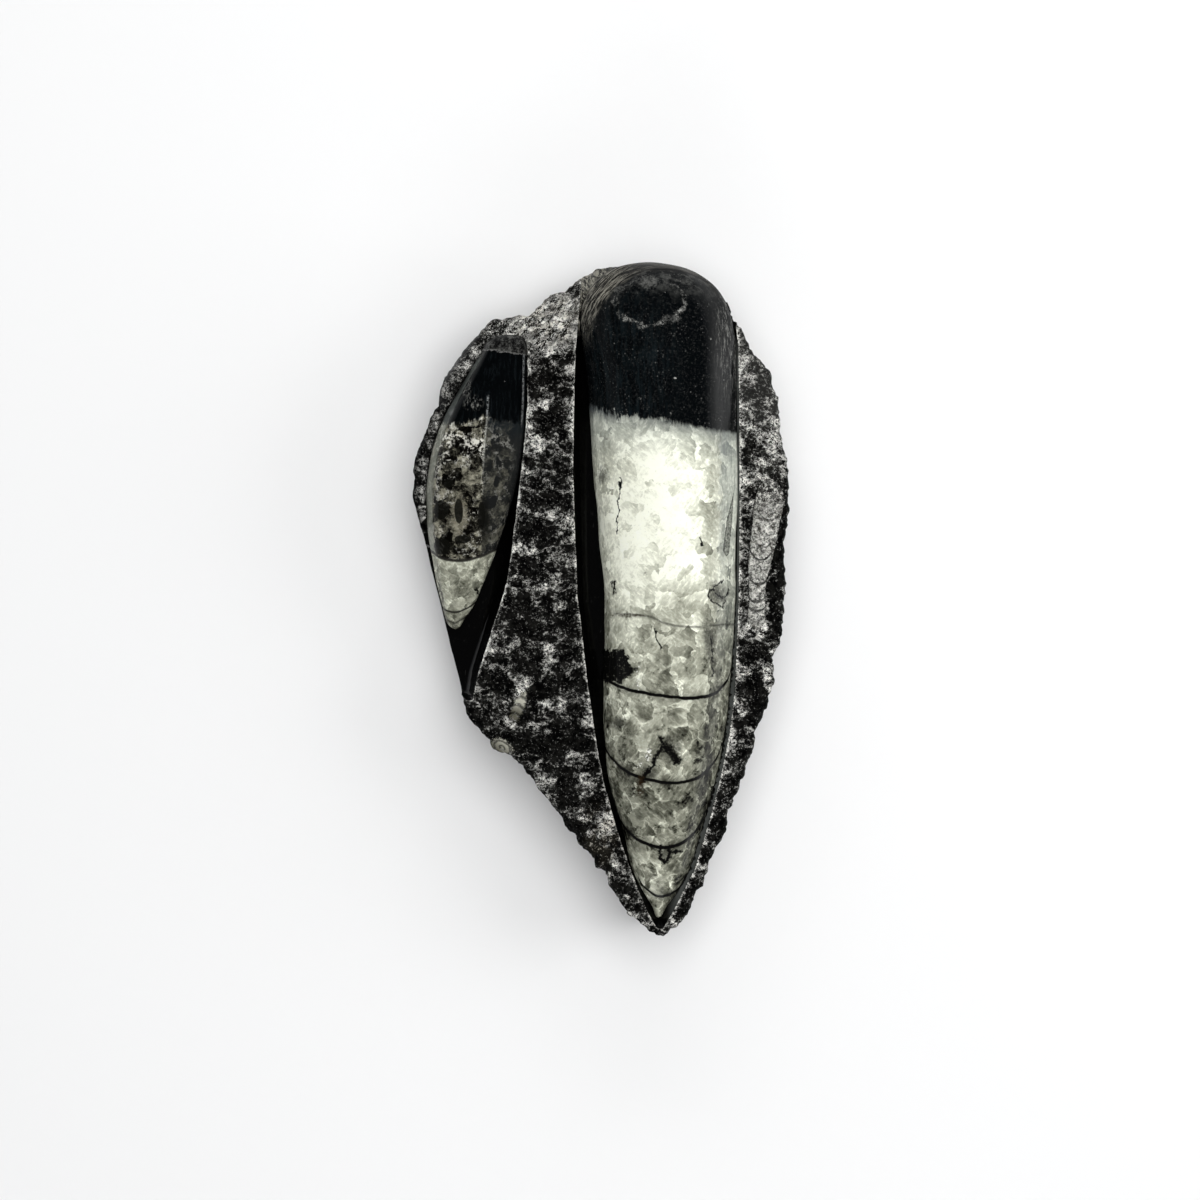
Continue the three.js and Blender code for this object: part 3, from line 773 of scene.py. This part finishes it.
def stone_height(points):
    """Height of the slab's upper side before it is chiselled, and which of it is polished."""
    x, y = points.T
    face = FACE_TOP + math.tan(SLAB_FALL) * (y - FALL_FROM) + waves(points, 16, 2) * 0.7
    past_corner = (x + 14) * -0.435 + (y - 56) * 0.9
    face = np.minimum(face, 23.2 - 0.68 * past_corner + waves(points, 5, 3, 4.0) * 0.9)
    # The strip on the left of the small shell falls away to the edge.
    strip = np.clip((-x - 28 - np.clip(y - 38, 0, 20) * 0.45) / 6, 0, 1) * np.clip((y - 12) / 10, 0, 1)
    face = face - 1.6 * strip
    edge = gap_to(points, ring)
    face = face - 1.5 * np.exp(-edge / 1.3) * (0.8 + 0.6 * waves(points, 4, 2, 9.0))
    height = face.copy()
    cut = gap_to(points, channel)
    in_channel = inside(points, channel) & (cut > 0.07)
    wall = 1 - np.exp(-(cut / 1.0) ** 1.4)
    ledge = np.clip((x - 13.5) / 4, 0, 1)
    ledge = np.maximum(ledge, np.clip((y - 55) / 6, 0, 1))
    floor = CHANNEL_FLOOR * (1 - ledge) + (face - 0.45) * ledge
    height = np.where(in_channel, np.minimum(face, face + (floor - face) * wall), height)
    cut = gap_to(points, trough)
    in_trough = inside(points, trough) & (cut > 0.07)
    wall = 1 - np.exp(-(cut / 1.1) ** 1.3)
    floor = TROUGH_FLOOR + 0.02 * (y - 10) - 0.22 * np.clip(-31 - x, 0, 9) * (y < 12)
    height = np.where(in_trough, np.minimum(face, face + (floor - face) * wall), height)
    for stations, axis_height, flatten in [
        (LARGE_SHELL, large_axis, 1.0),
        (SMALL_SHELL, small_axis, SMALL_SQUASH),
        (SIDE_SHELL, side_axis, 0.25),
    ]:
        socket = under_shell(points, stations, axis_height, flatten) - 0.12
        height = np.where(np.isnan(socket), height, np.minimum(height, socket))
    polished = in_channel | in_trough
    rim = np.exp(-np.minimum(gap_to(points, channel), gap_to(points, trough)) / 0.45) * ~polished
    return height, polished, rim


def triangles_in(ring, points, loops, near):
    """Triangles inside a ring that keep to the loops, and which points each corner came from."""
    points = [Vector(p) for p in points]
    places, _, faces, came_from, _, _ = delaunay_2d_cdt(points, loops, [], 0, near, True)
    places = np.array([tuple(v) for v in places])
    faces = np.array([f for f in faces if len(f) == 3])
    return places, faces[inside(places[faces].mean(1), ring)], came_from


def matrix_mesh():
    """The slab's closed mesh: worked face, broken sides in rows, and sawn back."""
    rng = np.random.default_rng(7)
    count = len(ring)
    low, high = ring.min(0), ring.max(0)
    across = np.arange(low[0], high[0], GRID)
    columns, rows = np.meshgrid(across, np.arange(low[1], high[1], GRID * 0.87))
    columns[1::2] += GRID / 2
    grid = np.c_[columns.ravel(), rows.ravel()] + rng.uniform(-0.11, 0.11, (columns.size, 2))
    grid = grid[inside(grid, ring)]
    rims = []
    for rim in (channel, trough):
        inward = -outward(rim, 3)
        for step in (-0.35, 0.0, 0.14, 0.5):
            rims.append(rim + inward * step)
    keep = gap_to(grid, ring) > 0.3
    for line in rims:
        keep &= gap_to(grid, line) > 0.24
    grid = grid[keep]
    rims = [line[inside(line, ring) & (gap_to(line, ring) > 0.15)] for line in rims]
    flat = np.vstack([ring, *rims, grid])
    round_ring = [(i, (i + 1) % count) for i in range(count)]
    loops = round_ring.copy()
    start = count
    for line in rims:
        near = np.hypot(*np.diff(line, axis=0).T) < 1.0
        loops += [(start + i, start + i + 1) for i in range(len(line) - 1) if near[i]]
        start += len(line)
    places, faces, came_from = triangles_in(ring, flat, loops, 1e-5)
    top_of = {}
    for new, old in enumerate(came_from):
        for o in old:
            top_of.setdefault(o, new)
    height, polished, rim = stone_height(places)
    # How rough each point is chiselled: less in the thin strip on the left and along the edge.
    thin = np.clip((-24 - places[:, 0]) / 4, 0, 1) * np.clip((places[:, 1] - 14) / 4, 0, 1)
    by_edge = 1 - 0.55 * np.exp(-gap_to(places, ring) / 0.8)
    rough = np.where(polished, 0.0, 1 - 0.45 * thin) * by_edge
    vertices = [tuple(v) for v in np.c_[places, height]]
    faces = [tuple(f) for f in faces]
    map_of = (places - MAP_CORNER) * MAP_SCALE
    map_places = [tuple(map_of[v]) for f in faces for v in f]
    # The sides go down in rows, each set in from the one above by the fracture's scoops. On
    # the map they are cut into four strips.
    top_ring = [top_of[i] for i in range(count)]
    previous = top_ring
    inset_way = -outward(ring, 16)
    per_strip = math.ceil(count / 4)
    for row in range(1, SIDE_ROWS + 1):
        share = row / SIDE_ROWS
        current = []
        for i in range(count):
            z = height[top_ring[i]] * (1 - share)
            spot = Vector((*ring[i], z))
            scoop = noise.fractal(spot / 11, 0.8, 2.0, 3)
            facet = noise.voronoi(spot / 7 + Vector((4, 1, 0)))[0]
            depth = 1.3 * share**0.8 + 1.6 * max(0, scoop + 0.25) + 1.2 * (facet[1] - facet[0])
            depth *= min(1, share * 7)
            depth += 0.9 * max(0, (share - 0.965) / 0.035)
            depth *= 1 - 0.6 * smooth_side[i] * (1 - share)
            x, y = ring[i] + inset_way[i] * depth
            current.append(len(vertices))
            vertices.append((x, y, z))
        for i in range(count):
            k = (i + 1) % count
            faces.append((previous[i], current[i], current[k], previous[k]))
            strip, start = divmod(i, per_strip)
            for step, level in ((0, row - 1), (0, row), (1, row), (1, row - 1)):
                across = 0.575 + 0.42 * (start + step) / per_strip
                map_places.append((across, 0.99 - 0.098 * strip - 0.09 * level / SIDE_ROWS))
        previous = current
    above_back = np.array([v[2] for v in vertices[len(rough):]]) / 2
    smooth = np.tile(1 - 0.6 * smooth_side, SIDE_ROWS)
    down = np.repeat(np.arange(1, SIDE_ROWS + 1) / SIDE_ROWS, count)
    by_edge = 0.45 + 0.55 * np.minimum(down * 5, 1)
    rough = np.r_[rough, np.minimum(above_back, 1) * smooth * by_edge]
    # The sawn back.
    back_ring = np.array([vertices[v][:2] for v in previous])
    columns, rows = np.meshgrid(np.arange(-44, 44, BACK_GRID), np.arange(-76, 76, BACK_GRID))
    grid = np.c_[columns.ravel(), rows.ravel()] + rng.uniform(-0.5, 0.5, (columns.size, 2))
    grid = grid[inside(grid, back_ring)]
    grid = grid[gap_to(grid, back_ring) > 1.2]
    flat = np.vstack([back_ring, grid])
    places, back_faces, came_from = triangles_in(back_ring, flat, round_ring, 1e-6)
    number = {}
    for new, old in enumerate(came_from):
        if old and min(old) < count:
            number[new] = previous[min(old)]
        else:
            number[new] = len(vertices)
            vertices.append((*places[new], 0.0))
    map_of = (places - MAP_CORNER) * MAP_SCALE * 0.62 + (0.6, -0.02)
    for f in back_faces[:, ::-1]:
        map_places += [tuple(map_of[v]) for v in f]
        faces.append(tuple(number[v] for v in f))
    rough = np.r_[rough, np.zeros(len(vertices) - len(rough))]
    rim = np.r_[rim, np.zeros(len(vertices) - len(rim))]
    return vertices, faces, map_places, {"chiselled": rough, "rim": rim}


vertices, faces, map_places, marks = matrix_mesh()
slab = made_piece("slab", vertices, faces, map_places)
for mark, values in marks.items():
    kept_mark = slab.data.attributes.new(mark, "FLOAT", "POINT")
    kept_mark.data.foreach_set("value", values.astype(np.float32))


def slab_finish():
    f = Finish("black_limestone")
    hewn_share = f.add("ShaderNodeAttribute", {"attribute_name": "chiselled"}, output="Fac")
    hewn_share = f.rise(hewn_share, 0.2, 0.7)
    rim = f.add("ShaderNodeAttribute", {"attribute_name": "rim"}, output="Fac")
    back = f.rise(f.z, 0.12, 0.03)
    # Chiselled stone: veins and clots of pale bruise on black, each made of fine crushed grains.
    clot = f.cloud(4.2, 3, 0.6)
    veins = f.rise(abs(f.cloud(6, 4, 0.62, f.stretched(0.6, 1.0, 0.6, turn=0.12)) - 0.5), 0.09, 0.0)
    grit = f.cloud(0.6, 2, 0.9)
    dense = f.rise(clot, 0.5, 0.68) * 0.75 + veins * 0.6 * f.patches(0.4, 0.52, 5, 2, shift=6)
    right = f.rise(f.x, 27, 31) * f.rise(f.y, 35, 42)
    shoulder = f.spot(-11.5, 62.5, 7.5, 6, 0.6)
    crest = f.spot(-21, 60.6, 8, 2.4, 0.8).over(f.spot(-12.5, 56.8, 4.5, 1.8, 0.7))
    margin = f.spot(38.5, 32, 3.6, 6, 0.9)
    beside = f.line_of(f.y, [(-7, 38.6), (4, 39.2), (13, 41), (24, 42.6)])
    beside = f.rise(abs(f.x - beside), 2.2, 0.8) * f.rise(f.y, 28, 22) * f.rise(f.y, -9, -6)
    strip = f.line_of(f.y, [(17, -38.8), (30, -38.3), (41, -34.8), (51, -29.2), (58, -24.5)])
    strip = f.rise(f.x - strip, 0.2, -0.6) * f.rise(f.y, 16, 19)
    dense = dense + strip * 0.16 + right * 0.16 + shoulder * 0.3 + crest * 0.5 + margin * 0.35
    dense = dense - beside * 0.6 - f.rise(f.y, -12, -30) * 0.12
    dense = (dense + rim * 1.5 * clot).under(1.3)
    bruise = f.rise(grit + dense * 0.13, 0.588, 0.66)
    pits = f.patches(0.42, 0.5, 0.55, 2, 0.85, shift=13)
    bruise = bruise * (0.3 + 0.7 * pits)
    threads = f.rise(abs(f.cloud(0.8, 3, 0.75, shift=29) - 0.5), 0.026, 0.006)
    bruise = bruise.over(threads * f.rise(dense, 0.2, 0.75))
    # Towards the top left the stone is crumpled, with sharp dark creases between pale folds.
    folds = f.cloud(1.6, 5, 0.84, f.stretched(1.0, 0.5, 1.0, turn=0.5), 23)
    crumple = f.rise(abs(folds - 0.5), 0.01, 0.035) * (0.08 + f.rise(folds, 0.42, 0.5))
    bruise = f.blend(shoulder * 0.9, bruise, crumple * f.rise(grit, 0.38, 0.46))
    creases = abs(f.cloud(3.4, 4, 0.72, f.stretched(1.0, 0.5, 1.0, turn=0.5), 37) - 0.5)
    creases = f.rise(creases, 0.035, 0.012)
    lit = f.patches(0.4, 0.58, 3.4, 3, 0.6, shift=43)
    lit = lit * f.patches(0.44, 0.54, 1.3, 4, 0.8, shift=47)
    bruise = bruise.over(shoulder * lit * 0.95) * (1 - creases * shoulder.over(crest))
    bruise = bruise * (1 - shoulder * (0.4 - lit * 0.4))
    deep = f.patches(0.4, 0.7, 1.6, 4, 0.7, shift=7)
    pale = f.blend((dense * 0.9) ** 1.5 + shoulder, (0.15, 0.15, 0.14), (0.94, 0.93, 0.87))
    warm = shoulder.over(f.spot(0.5, -52, 4, 6.5, 0.8)) * f.patches(0.42, 0.58, 2.2, 3, 0.6, shift=2)
    pale = f.blend(warm * 0.3, pale, (0.7, 0.64, 0.5))
    rock = f.blend(deep, 0.001, (0.012, 0.0118, 0.0105))
    rock = f.blend(warm * 0.3, rock, (0.03, 0.026, 0.018))
    rock = f.blend(right * grit * 0.5, rock, (0.085, 0.085, 0.08))
    hewn = f.blend(bruise, rock, pale)
    # Two scraps of other shells lie in the broken stone: one in segments, one in rings.
    for x, y, across, along, turn, pitch in [
        (-18.3, -24.2, 1.2, 3.8, 0.36, 3.2), (-21.8, -32.9, 2.6, 1.7, 0.62, 12.0),
    ]:
        near = f.turned(f.vector("SUBTRACT", f.place, (x, y, 0)), turn)
        apart = f.add("ShaderNodeSeparateXYZ", {}, [near])
        oval = f.oval(0, 0, across, along, near)
        scrap = f.rise(oval + (grit - 0.5) * 1.6 + (clot - 0.5) * 1.2, 1.15, 0.75) * f.rise(f.z, 17, 18.5)
        beat = (apart.out("Y") + apart * apart * 0.4 if along > across else oval) * pitch + grit * 4
        ribs = f.rise(beat.maths("SINE", beat), -1.0, 0.2)
        shade = f.blend(f.rise(apart.out("Y"), -1.5, 2.5), (0.12, 0.115, 0.085), (0.6, 0.59, 0.5))
        hewn = f.blend(scrap * (0.2 + 0.75 * ribs), hewn, shade)
    # Polished stone: black, with a few threads and specks.
    thread = f.patches(0.6, 0.8, 0.6, 4, 0.75, f.stretched(1.0, 0.25, 0.5, turn=0.15))
    gloss = f.blend(thread * 0.2, 0.001, (0.11, 0.11, 0.105))
    # It is greyer on the ledge along the right of the large shell. Round its blunt end it is streaked with
    # pale flow lines, partly a painted grey sheen.
    ledge = f.rise(f.x, 14.5, 17) * f.rise(f.y, 60, 52) * (0.75 + thread)
    gloss = f.blend(ledge, gloss, (0.07, 0.075, 0.07))
    swept = f.patches(0.42, 0.6, 0.5, 4, 0.75, f.stretched(1.0, 0.3, 0.5, turn=-0.35))
    gloss = f.blend(f.rise(f.y, 58, 62) * f.rise(f.x, 4, 0) * swept, gloss, (0.24, 0.23, 0.19))
    colour = f.blend(hewn_share, gloss, hewn)
    # Sawn stone: grey with arcs from the blade.
    arcs = f.vector("LENGTH", f.vector("SUBTRACT", f.place, (-120, -60, 0)), output="Value")
    saw = (arcs * 4.0).maths("SINE", arcs * 4.0)
    sawn = f.blend(f.cloud(0.9, 4, 0.7) + saw * 0.06, 0.02, (0.11, 0.11, 0.105))
    colour = f.blend(back, colour, sawn)
    relief = (grit + f.cloud(0.3, 3, 0.8) * 0.5) * hewn_share + saw * back * 0.15
    return f.finish(colour, 0.7, relief, 0.5, (1 - hewn_share) * (1 - back) * 0.45 + 0.03)


def chisel_relief(piece, depth, chip, grain):
    """Roughs the chiselled surface, in proportion to its chiselled attribute, with Geometry Nodes."""
    tree = bpy.data.node_groups.new("chisel_relief", "GeometryNodeTree")
    for name, kind in [
        ("Geometry", "Geometry"), ("Depth", "Float"), ("Chip", "Float"), ("Grain", "Float"),
        ("Stone", "Material"),
    ]:
        tree.interface.new_socket(name, in_out="INPUT", socket_type="NodeSocket" + kind)
    tree.interface.new_socket("Geometry", in_out="OUTPUT", socket_type="NodeSocketGeometry")
    n = Nodes(tree)
    given = n.add("NodeGroupInput", output="Geometry")
    share = n.add("GeometryNodeInputNamedAttribute", {}, {"Name": "chiselled"}, "Attribute")
    place = n.add("GeometryNodeInputPosition")
    in_mm = n.add("ShaderNodeVectorMath", {"operation": "SCALE"}, {0: place, "Scale": 1 / MM})
    inputs = {"Vector": in_mm, "Scale": 1 / given.out("Chip")}
    chips = n.add("ShaderNodeTexVoronoi", {"feature": "F1"}, inputs)
    inputs = {"Vector": in_mm, "Scale": 1 / given.out("Grain"), "Detail": 5.0, "Roughness": 0.62}
    lumps = n.add("ShaderNodeTexNoise", {}, inputs)
    height = ((lumps - 0.5) * 2.2 + (chips - 0.45) * 0.8) * given.out("Depth") * share * MM
    normal = n.add("GeometryNodeInputNormal")
    offset = n.add("ShaderNodeVectorMath", {"operation": "SCALE"}, {0: normal, "Scale": height})
    moved = n.add("GeometryNodeSetPosition", {}, {"Geometry": given, "Offset": offset})
    real = n.add("GeometryNodeRealizeInstances", {}, [moved])
    stone = n.add("GeometryNodeSetMaterial", {}, {"Geometry": real, "Material": given.out("Stone")})
    n.add("NodeGroupOutput", {}, [stone])
    modifier = piece.modifiers.new("chisel_relief", "NODES")
    modifier.node_group = tree
    given = {"Depth": depth, "Chip": chip, "Grain": grain, "Stone": piece.data.materials[0]}
    for item in tree.interface.items_tree:
        if item.in_out == "INPUT" and item.name in given:
            modifier[item.identifier] = given[item.name]
    seen = piece.evaluated_get(bpy.context.evaluated_depsgraph_get())
    made = bpy.data.meshes.new_from_object(seen)
    piece.modifiers.remove(modifier)
    piece.data = made


slab.data.materials.append(slab_finish())
chisel_relief(slab, depth=0.55, chip=2.4, grain=2.6)
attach(slab, "root")
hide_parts("matrix")


# ---------------------------------------------------------------------------------------------
# The side shell. A third, slighter shell that the chisel laid open level with the face. It was
# never polished: its calcite is bruised grey-white, with each chamber wall standing as a rib.

def side_shell_finish():
    f = Finish("side_shell_chiselled")
    grit = f.cloud(0.5, 4, 0.85)
    waver = f.cloud(2.0, 3, 0.6) - 0.5
    bruise = f.rise(grit + waver * 0.4, 0.38, 0.62)
    colour = f.blend(bruise, (0.055, 0.055, 0.05), (0.6, 0.595, 0.55))
    sparks = f.rise(f.cloud(0.8, 4, 0.85, shift=5) + waver * 0.3, 0.54, 0.62)
    colour = f.blend(sparks, colour, (0.86, 0.85, 0.8))
    # The chamber walls hang across it as dark cups.
    cups = []
    middle = f.line_of(f.y, [(-7, 34.6), (0, 34.9), (8, 35.6), (13, 36.4), (18, 37.6), (27, 37.8)])
    cup = ((f.x - middle) * (f.x - middle)) * 0.3
    for low, strength in [
        (17.7, 0.6), (14.4, 0.3), (11.7, 0.6), (8.9, 1), (6.2, 0.25), (3.5, 0.9), (1.4, 0.3), (-0.4, 0.8),
        (-2.6, 0.9), (-4.8, 0.6),
    ]:
        cups.append(f.rise(abs(f.y - low - cup + waver * 1.3), 0.42, 0.12) * strength)
    cups = reduce(Field.over, cups)
    colour = f.blend((cups * (1.1 + waver * 1.8 - grit * 0.4)).held(), colour, (0.008, 0.008, 0.007))
    stains = f.rise(f.cloud(1.8, 4, 0.75, shift=9) + f.rise(f.y, 10, 24) * 0.08, 0.56, 0.64)
    colour = f.blend(stains * 0.9, colour, (0.02, 0.017, 0.012))
    # Its wide end is crushed into the stone around it.
    crushed = f.rise(f.cloud(0.75, 3, 0.9) + waver * 0.2, 0.5, 0.6)
    crushed = f.blend(crushed, 0.003, (0.72, 0.71, 0.66))
    colour = f.blend(f.rise(f.y + waver * 5, 17, 24) * 0.85, colour, crushed)
    f.shader.inputs["Specular IOR Level"].default_value = 0.1
    return f.finish(colour, 0.6, grit - cups * 0.5, 0.4)


side_shell = shell_skin("side_shell", SIDE_SHELL, side_axis, 0.26, [], 64, 0.35)
side_shell.data.materials.append(side_shell_finish())
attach(side_shell, "root")
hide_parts("side_orthocone")


# ---------------------------------------------------------------------------------------------
# The table, the studio light and the camera, which looks straight down on the lying piece.

table = bpy.data.meshes.new("table")
reach = 1.15
corners = [(-reach, -reach, 0), (reach, -reach, 0), (reach, reach, 0), (-reach, reach, 0)]
table.from_pydata(corners, [], [(0, 1, 2, 3)])
table_top = bpy.data.objects.new("table", table)
bpy.context.scene.collection.objects.link(table_top)
paper = bpy.data.materials.new("pale_paper")
paper.use_nodes = True
matt = paper.node_tree.nodes["Principled BSDF"].inputs
matt["Base Color"].default_value = (0.86, 0.86, 0.86, 1)
matt["Roughness"].default_value = 0.9
table.materials.append(paper)


def softbox(name, place, width, height, power, mirrored=True, target=(0, 0, 0.015)):
    """A flat soft lamp that faces the piece. One that isn't mirrored shows in no polished stone."""
    lamp = bpy.data.lights.new(name, "AREA")
    lamp.shape = "RECTANGLE"
    lamp.size = width
    lamp.size_y = height
    lamp.energy = power
    stand = bpy.data.objects.new(name, lamp)
    stand.location = place
    stand.rotation_mode = "QUATERNION"
    stand.rotation_quaternion = (Vector(target) - Vector(place)).to_track_quat("-Z", "Y")
    stand.visible_glossy = mirrored
    bpy.context.scene.collection.objects.link(stand)


softbox("lamp_over", (0.1, 0.15, 0.95), 1.0, 1.0, 9, mirrored=False)
softbox("lamp_right", (0.9, 0.1, 0.45), 0.5, 0.5, 3.5, mirrored=False)
softbox("lamp_far", (0, 0.95, 0.36), 0.8, 0.25, 3.5, mirrored=False)
softbox("lamp_near", (-0.1, -0.95, 0.4), 0.8, 0.25, 3)

# Pale near the horizon and dim overhead, so that polished black stone stays black from above.
world = bpy.data.worlds.new("studio")
world.use_nodes = True
sky = Nodes(world.node_tree)
up = sky.add("ShaderNodeSeparateXYZ", {}, [sky.add("ShaderNodeTexCoord", output="Generated")]).out("Z")
inputs = {"Value": up, "From Min": 0.15, "From Max": 0.4, "To Min": 0.85, "To Max": 0.06}
strength = sky.add("ShaderNodeMapRange", {"interpolation_type": "SMOOTHSTEP"}, inputs)
backdrop = world.node_tree.nodes["Background"]
backdrop.inputs["Color"].default_value = (0.94, 0.97, 1, 1)
world.node_tree.links.new(strength.socket, backdrop.inputs["Strength"])
bpy.context.scene.world = world
bpy.context.scene.view_settings.view_transform = "Standard"

LENS, SENSOR = 100, 36
VIEW_WIDTH = 266.3  # how much of the worked face's plane the camera takes in
eye = bpy.data.cameras.new("camera")
eye.lens = LENS
eye.sensor_width = SENSOR
camera = bpy.data.objects.new("camera", eye)
camera.location = (0, 0, (VIEW_WIDTH * LENS / SENSOR + FACE_TOP) * MM)
bpy.context.scene.collection.objects.link(camera)
bpy.context.scene.camera = camera
